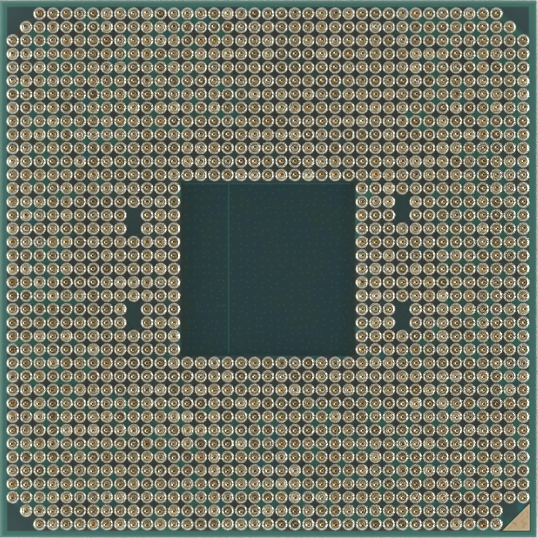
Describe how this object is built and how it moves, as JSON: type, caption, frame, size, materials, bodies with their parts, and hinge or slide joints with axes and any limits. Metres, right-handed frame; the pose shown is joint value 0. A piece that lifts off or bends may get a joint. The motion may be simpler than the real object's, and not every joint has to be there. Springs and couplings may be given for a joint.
{
  "type": "desktop processor in a pin-grid package",
  "caption": "Square processor package with a grid of gold-plated contact pins on a green board and a plated metal heat spreader beneath.",
  "frame": {"origin": "middle of the heat spreader's cooler face, on which the part lies", "axes": "+Z out of the board along the pins; +X towards the marked edge on the right, +Y away from the marked corner, which is at +X, -Y"},
  "size_m": [0.04, 0.04, 0.0064],
  "materials": {
    "laminate": "green solder mask, satin",
    "plated_copper": "nickel-plated copper, fine satin",
    "silicone": "matt black",
    "indium_solder": "dull grey metal",
    "silicon": "polished dark grey",
    "epoxy": "dark, glossy",
    "capacitor_ceramic": "matt brown ceramic",
    "terminal_metal": "tinned",
    "gilt_copper": "matt pale gold",
    "gilt_pins": "gold plate"
  },
  "bodies": {
    "root": {"substrate": "laminate", "heat_spreader": "plated_copper", "lid_seal": "silicone", "thermal_solder": "indium_solder", "processor_die": "silicon", "die_underfill": "epoxy", "front_capacitor_bodies": "capacitor_ceramic", "front_capacitor_terminals": "terminal_metal", "rear_capacitor_bodies": "capacitor_ceramic", "rear_capacitor_terminals": "terminal_metal", "pin_side_corner_mark": "gilt_copper", "lid_side_corner_mark": "gilt_copper", "pin_row_a": "gilt_pins", "pin_row_b": "gilt_pins", "pin_row_c": "gilt_pins", "pin_row_d": "gilt_pins", "pin_row_e": "gilt_pins", "pin_row_f": "gilt_pins", "pin_row_g": "gilt_pins", "pin_row_h": "gilt_pins", "pin_row_j": "gilt_pins", "pin_row_k": "gilt_pins", "pin_row_l": "gilt_pins", "pin_row_m": "gilt_pins", "pin_row_n": "gilt_pins", "pin_row_p": "gilt_pins", "pin_row_r": "gilt_pins", "pin_row_t": "gilt_pins", "pin_row_u": "gilt_pins", "pin_row_v": "gilt_pins", "pin_row_w": "gilt_pins", "pin_row_y": "gilt_pins", "pin_row_aa": "gilt_pins", "pin_row_ab": "gilt_pins", "pin_row_ac": "gilt_pins", "pin_row_ad": "gilt_pins", "pin_row_ae": "gilt_pins", "pin_row_af": "gilt_pins", "pin_row_ag": "gilt_pins", "pin_row_ah": "gilt_pins", "pin_row_aj": "gilt_pins", "pin_row_ak": "gilt_pins", "pin_row_al": "gilt_pins", "pin_row_am": "gilt_pins", "pin_row_an": "gilt_pins", "pin_row_ap": "gilt_pins", "pin_row_ar": "gilt_pins", "pin_row_at": "gilt_pins", "pin_row_au": "gilt_pins", "pin_row_av": "gilt_pins", "pin_row_aw": "gilt_pins"}
  },
  "joints": []
}
